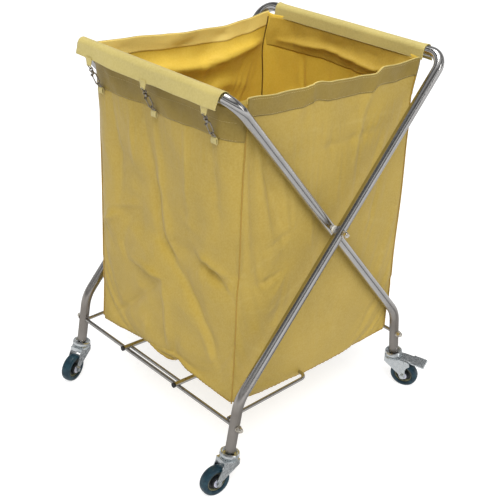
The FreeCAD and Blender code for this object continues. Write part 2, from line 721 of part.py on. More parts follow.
def pedal():
    """Brake pedal: ribbed tread plate, hub on its pin, and the shoe over the tyre."""
    body = new_body()
    # Reach from the stem axis and height of each corner, seen from the side.
    plate = [("27.2", "-12.8"), ("50", "-15.6"), ("90", "-22"), ("92", "-25"),
             ("89.5", "-25.4"), ("53", "-19.6"), ("49.5", "-21"), ("49", "-31.5"),
             ("47", "-32.8"), ("44", "-32.8"), ("42.5", "-31"), ("38", "-28.2"),
             ("30.5", "-27.4"), ("27.4", "-24")]
    pad(body, outline(body, "XZ_Plane", plate), "sizes.fork_inner - 1.4")
    wings = [("55", "-16.4"), ("90", "-22"), ("92", "-25"), ("89.5", "-25.4"),
             ("55", "-19.9")]
    pad(body, outline(body, "XZ_Plane", wings), "sizes.fork_inner + 7")
    for x in (71, 76, 81, 86):
        z = -16.4 - (x - 55) * 0.16
        rib = [("%.2f" % (x - 1.3), "%.3f" % (z - 1)), ("%.2f" % (x + 1.3), "%.3f" % (z - 1.4)),
               ("%.2f" % (x + 0.9), "%.3f" % (z + 1.2)), ("%.2f" % (x - 0.9), "%.3f" % (z + 1.5))]
        pad(body, outline(body, "XZ_Plane", rib), "sizes.fork_inner + 7")
    shank = cylinder("sizes.pedal_pin", "sizes.fork_inner + 2 * sizes.plate + 3",
                     V(S.pedal_x, -(S.fork_inner / 2 + S.plate + 1.5), -S.pedal_drop), Y_AXIS)
    return fuse([body, shank])


def casters():
    sockets = {-1: [], 1: []}
    heads = {-1: [], 1: []}
    for name, side, back, turn, braked in CASTERS:
        where = caster_placement(side, back, turn)
        sockets[side].append(placed(caster_socket(), where))
        heads[side].append(placed(caster_head(), where))
        node(placed(fork(braked), where), name + "_fork")
        node(placed(axle(), where), name + "_axle")
        rolling = where.multiply(wheel_placement())
        node(placed(hub(), rolling), name + "_wheel_hub")
        node(placed(tyre(), rolling), name + "_tyre")
        if braked:
            node(placed(pedal(), where), name + "_brake_pedal")
    for side, frame in ((-1, "outer"), (1, "inner")):
        node(group(sockets[side]), frame + "_leg_sockets")
        node(group(heads[side]), frame + "_caster_heads")


casters()


# ---------------------------------------------------------------- checks and export

doc.recompute()
failed = [obj.Label for obj in doc.Objects
          if "Invalid" in obj.State or "Error" in obj.State]
if failed:
    raise RuntimeError("features that failed: " + ", ".join(failed))
for obj in NODES:
    if obj.Shape.isNull() or not obj.Shape.isValid() or not obj.Shape.Solids:
        raise RuntimeError("shape that isn't a valid solid: " + obj.Label)

os.makedirs("parts", exist_ok=True)
for obj in NODES:
    obj.Shape.exportStep("parts/%s.step" % obj.Label)
print("nodes written:", len(NODES))
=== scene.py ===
import json
import math

import bpy
import numpy as np
from mathutils import Matrix, Vector
from mathutils.kdtree import KDTree

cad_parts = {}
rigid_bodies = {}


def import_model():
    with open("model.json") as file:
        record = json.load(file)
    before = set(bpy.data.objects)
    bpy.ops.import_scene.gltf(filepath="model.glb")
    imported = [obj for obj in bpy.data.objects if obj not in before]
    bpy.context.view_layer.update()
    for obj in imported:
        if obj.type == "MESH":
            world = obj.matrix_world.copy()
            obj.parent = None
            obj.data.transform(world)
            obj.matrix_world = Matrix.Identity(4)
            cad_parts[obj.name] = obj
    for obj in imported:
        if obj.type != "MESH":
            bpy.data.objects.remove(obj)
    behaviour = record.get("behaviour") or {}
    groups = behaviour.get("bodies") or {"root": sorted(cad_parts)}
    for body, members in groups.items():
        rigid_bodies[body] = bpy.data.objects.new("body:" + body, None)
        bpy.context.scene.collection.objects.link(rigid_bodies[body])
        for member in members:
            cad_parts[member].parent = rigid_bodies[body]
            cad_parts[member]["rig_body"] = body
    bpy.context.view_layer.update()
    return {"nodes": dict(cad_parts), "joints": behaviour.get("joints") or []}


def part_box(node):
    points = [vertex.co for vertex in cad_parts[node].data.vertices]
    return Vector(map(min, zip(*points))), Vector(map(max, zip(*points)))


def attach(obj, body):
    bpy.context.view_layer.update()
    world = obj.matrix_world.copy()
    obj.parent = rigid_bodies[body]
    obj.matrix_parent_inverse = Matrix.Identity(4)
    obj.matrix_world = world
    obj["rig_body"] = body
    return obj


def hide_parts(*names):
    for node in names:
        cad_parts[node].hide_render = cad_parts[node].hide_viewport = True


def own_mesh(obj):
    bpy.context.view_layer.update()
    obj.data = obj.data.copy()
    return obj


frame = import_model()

# Folding linen trolley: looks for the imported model.  Metres, +Z up, +Y to the back.
# Lengths in the tables below are millimetres and are turned into metres by MM.

MM = 0.001
SCENE = bpy.context.scene

# Centre line of the rails, which everything of cloth hangs from.
TUBE_RADIUS = 12.5
rail_low, rail_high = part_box("inner_frame_tube")
RAIL = rail_high.z / MM - TUBE_RADIUS
RAIL_REACH = -rail_low.x / MM - TUBE_RADIUS

# Mesh density of the bag: cells across the front and the sides, and rows up a wall.
COLUMNS, ROWS = (104, 96), 116
# Fold depth and sharpness, and the cloth simulation's length and largest movement (mm).
FOLD_DEPTH, FOLD_EDGE = 3.0, 1.1
SIM_FRAMES, SIM_CAP = 14, 8.0
# Wave length and size (mm) of each layer of creases.
CRUMPLES = ((55, 6.5), (34, 4.2), (21, 2.2))


# ---------------------------------------------------------------- camera, light, floor

CAMERA_PLACE = (-1.5175, -1.5706, 1.5288)
CAMERA_LENS, CAMERA_SENSOR = 68.54, 36
CAMERA_SHIFT = (0.0051, 0.0011)


def make_camera():
    """Long lens, high on the left front, rolled a little, as the photo was taken."""
    right = Vector((0.73401563, -0.67765313, 0.04480286))
    up = Vector((0.28218584, 0.36433208, 0.88748706))
    forward = Vector((0.61773151, 0.63878664, -0.45864955))
    data = bpy.data.cameras.new("camera")
    data.sensor_width = CAMERA_SENSOR
    data.lens = CAMERA_LENS
    data.shift_x, data.shift_y = CAMERA_SHIFT
    camera = bpy.data.objects.new("camera", data)
    turn = Matrix((right, up, -forward)).transposed().to_4x4()
    camera.matrix_world = Matrix.Translation(CAMERA_PLACE) @ turn
    SCENE.collection.objects.link(camera)
    SCENE.camera = camera


def soft_box(name, place, target, size, power):
    """Rectangular light at a place, turned to a target."""
    data = bpy.data.lights.new(name, "AREA")
    data.shape = "RECTANGLE"
    data.size, data.size_y = size
    data.energy = power
    light = bpy.data.objects.new(name, data)
    light.location = place
    light.rotation_euler = (Vector(target) - Vector(place)).to_track_quat("-Z", "Y").to_euler()
    SCENE.collection.objects.link(light)


# Glow of the studio around the object, by sine of the elevation.
ROOM = ((-1, 0.80), (-0.70, 0.75), (-0.63, 0.10), (-0.57, 0.10), (-0.50, 0.66), (-0.20, 0.80),
        (-0.05, 1.00), (0.10, 1.00), (0.18, 0.12), (0.36, 0.10), (0.44, 0.62), (0.54, 0.80),
        (0.60, 0.10), (0.80, 0.10), (0.88, 0.60), (1, 0.60))
# Broad sun that stands for the studio's ceiling lights: strength, angle and direction.
SUN_STRENGTH, SUN_ANGLE, SUN_DIRECTION = 2.6, 32, (0.60, 0.66, -1.2)
# Floor: reach from the middle (m), grey level, and glow that keeps it near white.
FLOOR_REACH, FLOOR_GREY, FLOOR_GLOW = 30, 0.42, 0.74


def make_light():
    """Studio glow, a broad sun and two soft boxes."""
    world = bpy.data.worlds.new("studio")
    world.use_nodes = True
    nodes, links = world.node_tree.nodes, world.node_tree.links
    direction = nodes.new("ShaderNodeTexCoord").outputs["Generated"]
    height = nodes.new("ShaderNodeSeparateXYZ")
    links.new(direction, height.inputs[0])
    from_below = nodes.new("ShaderNodeMapRange")
    from_below.inputs["From Min"].default_value = -1
    links.new(height.outputs["Z"], from_below.inputs["Value"])
    ramp = nodes.new("ShaderNodeValToRGB")
    links.new(from_below.outputs[0], ramp.inputs[0])
    while len(ramp.color_ramp.elements) < len(ROOM):
        ramp.color_ramp.elements.new(0.5)
    for stop, (rise, glow) in zip(ramp.color_ramp.elements, ROOM):
        stop.position = (rise + 1) / 2
        stop.color = (glow, glow, glow, 1)
    links.new(ramp.outputs[0], nodes["Background"].inputs["Color"])
    SCENE.world = world
    sun = bpy.data.lights.new("overhead", "SUN")
    sun.energy = SUN_STRENGTH
    sun.angle = math.radians(SUN_ANGLE)
    light = bpy.data.objects.new("overhead", sun)
    light.rotation_euler = Vector(SUN_DIRECTION).to_track_quat("-Z", "Y").to_euler()
    light.visible_glossy = False
    SCENE.collection.objects.link(light)
    middle = (0, 0, 0.5)
    soft_box("key", (1.0, -3.0, 2.4), middle, (0.5, 1.8), 9)
    soft_box("top", (0.1, 0.3, 3.0), middle, (0.9, 0.9), 22)
    SCENE.view_settings.view_transform = "Standard"
    SCENE.view_settings.look = "None"


def make_floor():
    """Plain white floor, which isn't mirrored in the steel."""
    mesh = bpy.data.meshes.new("floor")
    corners = [(x * FLOOR_REACH, y * FLOOR_REACH, 0)
               for x, y in ((-1, -1), (1, -1), (1, 1), (-1, 1))]
    mesh.from_pydata(corners, [], [(0, 1, 2, 3)])
    floor = bpy.data.objects.new("floor", mesh)
    SCENE.collection.objects.link(floor)
    material = bpy.data.materials.new("floor_white")
    material.use_nodes = True
    surface = material.node_tree.nodes["Principled BSDF"]
    surface.inputs["Base Color"].default_value = (FLOOR_GREY, FLOOR_GREY, FLOOR_GREY, 1)
    surface.inputs["Roughness"].default_value = 0.9
    surface.inputs["Specular IOR Level"].default_value = 0.1
    surface.inputs["Emission Color"].default_value = (1, 1, 1, 1)
    surface.inputs["Emission Strength"].default_value = FLOOR_GLOW
    floor.data.materials.append(material)
    floor.visible_glossy = False


make_camera()
make_light()
make_floor()


# ---------------------------------------------------------------- materials

class Shader:
    """A material and short calls for building its node tree."""

    def __init__(self, name, **sockets):
        self.material = bpy.data.materials.new(name)
        self.material.use_nodes = True
        self.tree = self.material.node_tree
        self.surface = self.tree.nodes["Principled BSDF"]
        for socket, value in sockets.items():
            self.surface.inputs[socket.replace("_", " ")].default_value = value
        self.place = self.add("ShaderNodeTexCoord").outputs["Object"]

    def add(self, kind, sockets=None, **settings):
        made = self.tree.nodes.new(kind)
        for key, value in settings.items():
            setattr(made, key, value)
        for socket, value in (sockets or {}).items():
            if isinstance(value, bpy.types.NodeSocket):
                self.tree.links.new(value, made.inputs[socket])
            else:
                made.inputs[socket].default_value = value
        return made

    def to_surface(self, output, socket):
        self.tree.links.new(output, self.surface.inputs[socket])

    def noise(self, scale, detail=3.0, roughness=0.5, place=None):
        node = self.add("ShaderNodeTexNoise", {"Vector": place or self.place, "Scale": scale,
                                               "Detail": detail, "Roughness": roughness})
        return node.outputs["Fac"]

    def stretched(self, scale):
        node = self.add("ShaderNodeMapping", {"Vector": self.place, "Scale": scale})
        return node.outputs["Vector"]

    def math(self, operation, a, b=0.0, clamp=False):
        return self.add("ShaderNodeMath", {0: a, 1: b}, operation=operation,
                        use_clamp=clamp).outputs[0]

    def mapped(self, value, low, high, to_low, to_high):
        node = self.add("ShaderNodeMapRange", {"Value": value, "From Min": low,
                                               "From Max": high, "To Min": to_low,
                                               "To Max": to_high})
        return node.outputs[0]

    def mixed(self, factor, a, b):
        node = self.add("ShaderNodeMix", data_type="RGBA")
        for index, value in ((0, factor), (6, a), (7, b)):
            if isinstance(value, bpy.types.NodeSocket):
                self.tree.links.new(value, node.inputs[index])
            elif index == 0:
                node.inputs[index].default_value = value
            else:
                node.inputs[index].default_value = (*value, 1)
        return node.outputs[2]

    def bump(self, height, strength, distance):
        node = self.add("ShaderNodeBump", {"Height": height, "Strength": strength,
                                           "Distance": distance})
        self.to_surface(node.outputs[0], "Normal")

    def attribute(self, name):
        return self.add("ShaderNodeAttribute", attribute_name=name).outputs["Fac"]

    def axis(self, name):
        return self.add("ShaderNodeSeparateXYZ", {0: self.place}).outputs[name]


# Radians of the weave's sine wave per metre: threads about 1.2 mm apart.
WEAVE = 5200


def cloth(name, thread, worn_and_highlight, crease_wear_and_highlight=0.0):
    """Coated woven polyester: plain weave, soft mottling, paler where it is creased:
    partly the coating's wear, partly a painted highlight.
    """
    s = Shader(name, Roughness=0.48, Specular_IOR_Level=0.4, Sheen_Weight=0.1,
               Sheen_Roughness=0.4)
    mottle = s.mapped(s.noise(9, 4), 0.35, 0.65, 0, 1)
    tone = s.mixed(mottle, thread, tuple(0.9 * c for c in thread))
    fine = s.mapped(s.noise(220, 2), 0.3, 0.7, 0, 0.35)
    tone = s.mixed(fine, tone, worn_and_highlight)
    # Paler along the fold lines: partly the coating's wear, partly a painted highlight.
    if crease_wear_and_highlight:
        tone = s.mixed(s.math("MULTIPLY", s.attribute("crease_wear_and_highlight"), crease_wear_and_highlight, True), tone, worn_and_highlight)
    s.to_surface(tone, "Base Color")
    s.to_surface(s.mapped(s.noise(40, 3), 0.3, 0.7, 0.42, 0.56), "Roughness")
    x, y, z = s.axis("X"), s.axis("Y"), s.axis("Z")
    warp = s.math("SINE", s.math("MULTIPLY", s.math("ADD", x, y), WEAVE))
    weft = s.math("SINE", s.math("MULTIPLY", z, WEAVE))
    weave = s.math("MULTIPLY", warp, weft)
    grain = s.math("ADD", s.math("MULTIPLY", weave, 0.35), s.noise(75, 4, 0.6))
    s.bump(grain, 0.12, 0.002)
    return s.material


def steel(name, tone, rough):
    """Polished or drawn metal with a fine grain and slight smudges."""
    s = Shader(name, Metallic=1.0)
    smudge = s.mapped(s.noise(14, 4), 0.35, 0.65, 0, 1)
    s.to_surface(s.mixed(smudge, tone, tuple(0.9 * c for c in tone)), "Base Color")
    lines = s.noise(30, 5, 0.6, s.stretched((60, 60, 60)))
    s.to_surface(s.mapped(lines, 0.3, 0.7, 0.8 * rough, 1.3 * rough), "Roughness")
    s.bump(lines, 0.02, 0.0005)
    return s.material


# Heights (m) between which the tubes turn from dull to polished.
DULL_BELOW, BRIGHT_ABOVE = 0.21, 0.32


def tube_steel():
    """Polished above, duller and warmer on the bent lower legs."""
    s = Shader("tube_steel", Metallic=1.0)
    low = s.mapped(s.axis("Z"), DULL_BELOW, BRIGHT_ABOVE, 1, 0)
    smudge = s.mapped(s.noise(12, 5), 0.35, 0.65, 0, 1)
    bright = s.mixed(smudge, (0.56, 0.55, 0.54), (0.48, 0.47, 0.46))
    dull = s.mixed(smudge, (0.42, 0.39, 0.36), (0.34, 0.31, 0.28))
    s.to_surface(s.mixed(low, bright, dull), "Base Color")
    lines = s.noise(40, 5, 0.6, s.stretched((3, 3, 3)))
    fine = s.mapped(lines, 0.3, 0.7, 0.15, 0.23)
    s.to_surface(s.math("ADD", fine, s.math("MULTIPLY", low, 0.2)), "Roughness")
    s.bump(s.noise(300, 4, 0.6), 0.012, 0.0004)
    return s.material


def zinc():
    """Bright zinc plate with a faint spangle."""
    s = Shader("zinc", Metallic=1.0)
    spangle = s.mapped(s.noise(90, 4, 0.6), 0.35, 0.65, 0, 1)
    s.to_surface(s.mixed(spangle, (0.80, 0.83, 0.84), (0.70, 0.74, 0.76)), "Base Color")
    s.to_surface(s.mapped(s.noise(160, 3), 0.3, 0.7, 0.20, 0.36), "Roughness")
    s.bump(s.noise(220, 4, 0.6), 0.025, 0.0008)
    return s.material


def moulded(name, tone, rough):
    """Moulded plastic, or thread, with a fine grain."""
    s = Shader(name, Specular_IOR_Level=0.5)
    s.to_surface(s.mixed(s.noise(60, 3), tone, tuple(0.75 * c for c in tone)), "Base Color")
    s.to_surface(s.mapped(s.noise(120, 3), 0.3, 0.7, 0.8 * rough, 1.2 * rough), "Roughness")
    s.bump(s.noise(600, 2), 0.08, 0.0004)
    return s.material


def rubber():
    """Dark teal rubber with paler scuffs."""
    s = Shader("tyre_rubber", Specular_IOR_Level=0.5)
    scuff = s.mapped(s.noise(80, 5, 0.65), 0.45, 0.7, 0, 1)
    s.to_surface(s.mixed(scuff, (0.004, 0.022, 0.036), (0.012, 0.05, 0.07)), "Base Color")
    s.to_surface(s.mapped(s.noise(50, 4), 0.3, 0.7, 0.28, 0.5), "Roughness")
    s.bump(s.noise(500, 3, 0.6), 0.1, 0.0005)
    return s.material


# Radii of the wheel hub's boss and of the olive ring of painted reflection on its web.
BOSS_RADIUS, REFLECTION_RING_INNER, REFLECTION_RING_OUTER = 11.6, 21, 23.5


def hub_plastic(name, centre, axis):
    """Black web, a thin olive ring of painted reflection and a lavender-grey boss,
    by radius from the axle.
    """
    s = Shader(name, Specular_IOR_Level=0.5)
    arm = s.add("ShaderNodeVectorMath", {0: s.place, 1: centre}, operation="SUBTRACT")
    turned = s.add("ShaderNodeVectorMath", {0: arm.outputs[0], 1: axis},
                   operation="CROSS_PRODUCT")
    radius = s.add("ShaderNodeVectorMath", {0: turned.outputs[0]},
                   operation="LENGTH").outputs["Value"]
    web = s.math("GREATER_THAN", radius, BOSS_RADIUS * MM)
    # The olive ring is a painted reflection on the black web.
    ring = s.math("MULTIPLY", s.math("GREATER_THAN", radius, REFLECTION_RING_INNER * MM),
                  s.math("LESS_THAN", radius, REFLECTION_RING_OUTER * MM))
    boss = s.mixed(s.noise(90, 3), (0.50, 0.50, 0.58), (0.42, 0.42, 0.50))
    tone = s.mixed(web, boss, (0.012, 0.014, 0.016))
    s.to_surface(s.mixed(ring, tone, (0.16, 0.16, 0.09)), "Base Color")
    s.to_surface(s.mapped(s.noise(120, 3), 0.3, 0.7, 0.3, 0.5), "Roughness")
    s.bump(s.noise(500, 2), 0.08, 0.0004)
    return s.material


# Outer cloth of the bag: its fold lines are painted paler, partly wear, partly painted highlight.
LINEN = cloth("linen_cloth", (0.41, 0.280, 0.044), (0.50, 0.38, 0.11), crease_wear_and_highlight=0.45)
# Inner face of the bag: a brighter copy of the outer cloth, painted light from inside the bag.
LIT_INNER_CLOTH = cloth("lit_inner_cloth", (0.64, 0.425, 0.045), (0.72, 0.53, 0.10))
# Outer hem bands: partly their own olive-tan, partly painted shade of the flap over them.
BAND_TONE_AND_SHADE = cloth("band_cloth", (0.25, 0.17, 0.025), (0.32, 0.235, 0.055))
# Inner hems of the front and back: far paler than the cloth, painted light for the lit inside.
LIT_HEM_CLOTH = cloth("lit_hem_cloth", (0.80, 0.60, 0.16), (0.84, 0.68, 0.24))
# Inner bands of the side walls: darker than the inner face, painted shade of the doubled cloth.
SHADED_FACING = cloth("shaded_facing_cloth", (0.45, 0.29, 0.035), (0.53, 0.37, 0.07))
# Near-black cord colour for the bag's inside corners: painted shade.
SHADE = cloth("painted_corner_shade_cloth", (0.10, 0.05, 0.005), (0.16, 0.09, 0.01))
SEAM = cloth("seam_cloth", (0.34, 0.20, 0.02), (0.40, 0.27, 0.05))
CREAM = cloth("cream_cloth", (0.50, 0.405, 0.13), (0.60, 0.51, 0.21))
BINDING = cloth("binding_cloth", (0.50, 0.41, 0.15), (0.60, 0.52, 0.24))
THREAD = moulded("thread", (0.58, 0.46, 0.20), 0.7)
ROD = steel("rod_steel", (0.52, 0.50, 0.47), 0.18)
PLATED = steel("plated_steel", (0.82, 0.77, 0.68), 0.2)
HARDWARE = steel("hook_metal", (0.40, 0.37, 0.33), 0.24)
ZINC = zinc()
BLACK = moulded("black_plastic", (0.012, 0.012, 0.013), 0.35)
NYLON = moulded("nylon", (0.72, 0.70, 0.64), 0.4)
TUBE = tube_steel()
TYRE = rubber()


def paint_cad_nodes():
    """Each kept CAD node gets its material in its own slots."""
    rules = (("frame_tube", TUBE), ("base_rod", ROD), ("base_loop", ROD), ("base_arms", ROD),
             ("arm_end_caps", BLACK), ("leg_sockets", BLACK), ("spacers", NYLON),
             ("nuts", PLATED), ("bolts", PLATED), ("tyre", TYRE), ("fork", ZINC),
             ("pedal", ZINC), ("caster_heads", ZINC), ("axle", ZINC), ("snap_hook", HARDWARE),
             ("hook_", HARDWARE))
    rolls = {j["child"]: j for j in frame["joints"] if j["name"].endswith("_roll")}
    for name, obj in frame["nodes"].items():
        material = next((m for key, m in rules if key in name), None)
        if name.endswith("_wheel_hub"):
            roll = rolls[obj["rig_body"]]
            material = hub_plastic(name + "_plastic", roll["pos_m"], roll["axis"])
        if material is not None:
            obj.data.materials.clear()
            obj.data.materials.append(material)


paint_cad_nodes()


# ---------------------------------------------------------------- mesh helpers

def new_piece(name, points, faces, material, body):
    """A mesh object in metres, with the CAD body and the material slot it goes with."""
    mesh = bpy.data.meshes.new(name)
    mesh.from_pydata([tuple(p) for p in points], [], [tuple(int(i) for i in f) for f in faces])
    mesh.materials.append(material)
    mesh.polygons.foreach_set("use_smooth", [True] * len(mesh.polygons))
    obj = bpy.data.objects.new(name, mesh)
    SCENE.collection.objects.link(obj)
    obj["body"] = body
    return obj


def apply_modifiers(obj):
    """Bakes the modifier stack into the mesh."""
    evaluated = obj.evaluated_get(bpy.context.evaluated_depsgraph_get())
    mesh = bpy.data.meshes.new_from_object(evaluated)
    obj.modifiers.clear()
    obj.data = mesh
    return obj


def thicken(obj, thickness, offset, inner_material=None):
    """Gives a sheet its thickness, with an optional material for its inner face."""
    solid = obj.modifiers.new("thickness", "SOLIDIFY")
    if inner_material is not None:
        obj.data.materials.append(inner_material)
        solid.material_offset = 1
    solid.thickness = thickness
    solid.offset = offset
    solid.use_even_offset = inner_material is None
    return apply_modifiers(obj)


def grid_faces(rows, columns, closed=False, first=0):
    """Quads of a grid of points stored row by row."""
    wide = columns if closed else columns - 1
    faces = []
    for r in range(rows - 1):
        for c in range(wide):
            a = first + r * columns + c
            b = first + r * columns + (c + 1) % columns
            faces.append((a, b, b + columns, a + columns))
    return faces


def smoothstep(value, low, high):
    t = np.clip((value - low) / (high - low), 0, 1)
    return t * t * (3 - 2 * t)


def curve_through(knots, values):
    """Smooth piecewise function through a few knots."""
    knots, values = np.array(knots, float), np.array(values, float)

    def at(x):
        x = np.clip(np.asarray(x, float), knots[0], knots[-1])
        i = np.clip(np.searchsorted(knots, x) - 1, 0, len(knots) - 2)
        t = (x - knots[i]) / (knots[i + 1] - knots[i])
        return values[i] + (values[i + 1] - values[i]) * t * t * (3 - 2 * t)
    return at


# ---------------------------------------------------------------- the cloth bag's shape

# The bag's four walls, seen from outside.  Each has its own across coordinate: x on the
# front and back walls, y on the side walls.  Heights are above the floor.
CLOTH = 1.3
HALF_DEPTH = 257.0
# Hem band of the front and back: its height.  Side bands: the heights of their two edges.
HEM = 42.0
BAND_LOW, BAND_HIGH = 838.0, 912.0
# Reach in x of the side walls' upper seams, and of the outer faces of their bands.
SEAM_REACH = RAIL_REACH - 12.4
SEAM_HEIGHT = RAIL - 19.0
WALL_TOP = RAIL - 13.0
LEFT_END, RIGHT_END = -275.0, 285.0
# How far the front and back walls sag in, and the furthest that they may stand out.
SAG, PROUD = 3.0, 0.6
# How much deeper they lie where the crossing bolts' heads pass as the frame folds.
BOLT_POCKET = 4.0
# The near left corner's pinch: its height, its half height, and its depth in x and y.
DENT_HEIGHT, DENT_SPREAD, DENT_X, DENT_Y = 522.0, 20, 8, 7
# The far left corner leans out at the top by this much, between these heights.
LEAN, LEAN_FROM, LEAN_TO = 14, 860, 922
# Where the side walls start to be drawn out to the rails.
DRAW_FROM = 580
# The round edge at the foot of each wall: how high it reaches, and how far it turns in.
FOOT_ROUND, FOOT_TURN = 12, 11

# Corner lines: reach in x at a few heights.
HEIGHTS = (186, 301, 461, 566, 751, 831, 929)
LEFT_CORNER = curve_through(HEIGHTS, (274, 272, 271, 269, 270, 268, 266))
RIGHT_CORNER = curve_through(HEIGHTS, (280, 284, 280, 281, 275, 268, 284))

# Folds of each wall: line of points (across, height), push out of the wall, and the
# widths of its two flanks.
LEFT_FOLDS = [
    ([(1, 418), (55, 427), (115, 423)], 6, (14, 9)),
    ([(1, 418), (110, 311), (214, 213), (252, 186)], -5, (10, 16)),
    ([(1, 418), (-18, 363), (-25, 190)], 3.5, (7, 20)),
    ([(58, 831), (35, 685), (11, 513), (-31, 484), (-84, 436), (-131, 390), (-172, 341),
      (-215, 243)], -6, (12, 30)),
    ([(12, 811), (-6, 620), (-19, 524), (-90, 430)], 4, (16, 10)),
    ([(-130, 537), (-208, 519), (-262, 505)], 7, (9, 16)),
    ([(-150, 521), (-220, 484), (-262, 459)], -7, (14, 10)),
    ([(-150, 339), (-204, 253)], 3, (12, 8)),
    ([(254, 480), (173, 526)], 6, (8, 18)),
    ([(199, 542), (90, 578)], 3, (8, 14)),
    ([(128, 534), (162, 452), (140, 411)], -3, (8, 14)),
    ([(167, 831), (160, 681), (170, 571)], -4, (22, 14)),
    ([(-103, 831), (-97, 595)], 3, (14, 22)),
    ([(-183, 831), (-193, 613)], -3, (18, 14)),
    ([(100, 831), (96, 681)], 3, (16, 24)),
    ([(-60, 281), (-25, 195)], -4, (10, 18)),
    ([(60, 281), (68, 203)], 4, (24, 30)),
]
FRONT_FOLDS = [
    ([(-75, 932), (-72, 843), (-57, 671), (-22, 460), (-7, 360), (14, 175)], 3, (5, 9)),
    ([(149, 925), (96, 823), (93, 771), (75, 715), (76, 581)], 4, (7, 12)),
    ([(-181, 815), (-80, 824), (98, 811), (264, 815)], 5, (12, 26)),
    ([(-200, 781), (-60, 771), (120, 776), (250, 781)], -3, (16, 24)),
    ([(131, 561), (207, 530), (278, 489)], 5, (8, 14)),
    ([(190, 429), (249, 440), (282, 434)], 4, (8, 12)),
    ([(-209, 562), (-77, 604)], -3, (8, 12)),
    ([(-260, 526), (-201, 534), (-160, 556)], 7, (9, 18)),
    ([(-243, 427), (-157, 412), (-34, 469)], 6, (30, 16)),
    ([(-262, 501), (-190, 486), (-120, 501)], -6, (12, 12)),
    ([(-240, 829), (-169, 694), (-130, 581)], -7, (22, 30)),
    ([(-10, 414), (58, 306), (90, 211)], 3, (10, 16)),
    ([(-262, 361), (-150, 281), (-60, 241)], 4, (18, 26)),
    ([(180, 361), (262, 281)], 3, (12, 18)),
]
BACK_FOLDS = [
    ([(-250, 853), (-120, 839), (40, 827), (255, 855)], -13, (18, 30)),
    ([(-200, 906), (-60, 876), (120, 893)], 5, (14, 22)),
    ([(-230, 781), (-60, 721), (120, 771), (250, 741)], -6, (16, 34)),
    ([(60, 841), (52, 671), (36, 461), (10, 221)], 4, (7, 12)),
    ([(-140, 831), (-118, 621), (-128, 401)], 4, (9, 14)),
    ([(-250, 541), (-150, 501), (-60, 526)], 6, (10, 18)),
    ([(240, 501), (120, 451), (30, 481)], 6, (18, 10)),
    ([(-240, 311), (-110, 381), (20, 321)], -5, (14, 24)),
    ([(230, 281), (120, 231)], 4, (12, 18)),
]
RIGHT_FOLDS = [
    ([(-230, 886), (-120, 861), (40, 873), (220, 859)], -5, (12, 22)),
    ([(-60, 831), (-40, 681), (-70, 501), (-10, 361)], -6, (14, 26)),
    ([(130, 831), (110, 621), (150, 461)], 4, (12, 18)),
    ([(-180, 831), (-165, 671)], 4, (12, 20)),
    ([(20, 451), (-90, 436)], 6, (9, 14)),
    ([(20, 451), (120, 331), (236, 206)], -5, (12, 16)),
    ([(20, 451), (30, 321), (10, 196)], 3, (8, 18)),
    ([(240, 541), (150, 521)], 6, (9, 16)),
    ([(-250, 401), (-160, 381), (-90, 311)], 5, (10, 18)),
]


# Lower edge of each wall.
LEFT_EDGE = curve_through((-262, -178, -108, -53, -34, -20, 3, 68, 142, 200, 262),
                          (191, 194, 197, 210, 190, 187, 190, 203, 195, 187, 181))
FRONT_EDGE = curve_through((-275, -170, -60, 60, 170, 285), (191, 177, 171, 169, 173, 180))
BACK_EDGE = curve_through((-275, -150, -20, 120, 285), (181, 188, 180, 186, 179))
RIGHT_EDGE = curve_through((-262, -120, -20, 80, 180, 262), (180, 187, 177, 188, 183, 179))

# Upper edge of each wall.  The side walls' upper edges are hidden by the rail flaps.
FRONT_TOP = curve_through((-270, -180, -103, -62, -20, 60, 125, 150, 215, 285),
                          (931, 924, 921, 928, 921, 917, 914, 926, 922, 927))
BACK_TOP = curve_through((-270, -160, -60, 40, 130, 200, 285),
                         (929, 925, 918, 914, 912, 919, 931))
SIDE_TOP = curve_through((-257, -251, 251, 257), (930, WALL_TOP, WALL_TOP, 930))


def segment_distance(across, height, start, end):
    """Signed distance from a segment, and how far along it, from 0 to 1."""
    ax, az = start
    dx, dz = end[0] - ax, end[1] - az
    length = math.hypot(dx, dz)
    t = np.clip(((across - ax) * dx + (height - az) * dz) / length ** 2, 0, 1)
    px, pz = across - ax - t * dx, height - az - t * dz
    side = np.sign(dx * pz - dz * px)
    return np.hypot(px, pz) * side, t


def fold(across, height, points, push, widths):
    """A fold along a line of points: a ridge if push is positive, a valley if negative."""
    lengths = [math.dist(a, b) for a, b in zip(points, points[1:])]
    total, done = sum(lengths), 0.0
    best = np.full(across.shape, 1e9)
    along = np.zeros(across.shape)
    for start, end, length in zip(points, points[1:], lengths):
        distance, t = segment_distance(across, height, start, end)
        nearer = np.abs(distance) < np.abs(best)
        best = np.where(nearer, distance, best)
        along = np.where(nearer, (done + t * length) / total, along)
        done += length
    fade = np.sin(np.pi * np.clip(0.1 + 0.8 * along, 0, 1)) ** 0.8
    width = np.where(best > 0, widths[0], widths[1]) * (0.42 + 0.3 * fade)
    return push * fade * np.exp(-(np.abs(best) / width) ** FOLD_EDGE)


def crumple_field(across, height, phase):
    """Crisp irregular creases of cloth that was once packed flat: sharp where a wave is 0."""
    field = np.zeros(np.shape(across))
    for step, (length, size) in enumerate(CRUMPLES):
        turn = phase + 1.9 * step
        u = (across * math.cos(turn) + height * math.sin(turn)) / length
        v = (height * math.cos(turn) - across * math.sin(turn)) / (1.7 * length)
        wave = np.sin(u + 1.3 * np.sin(0.7 * v + turn)) * np.cos(v + 0.9 * np.sin(0.6 * u - turn))
        field += size * (0.45 - np.abs(wave))
    return field


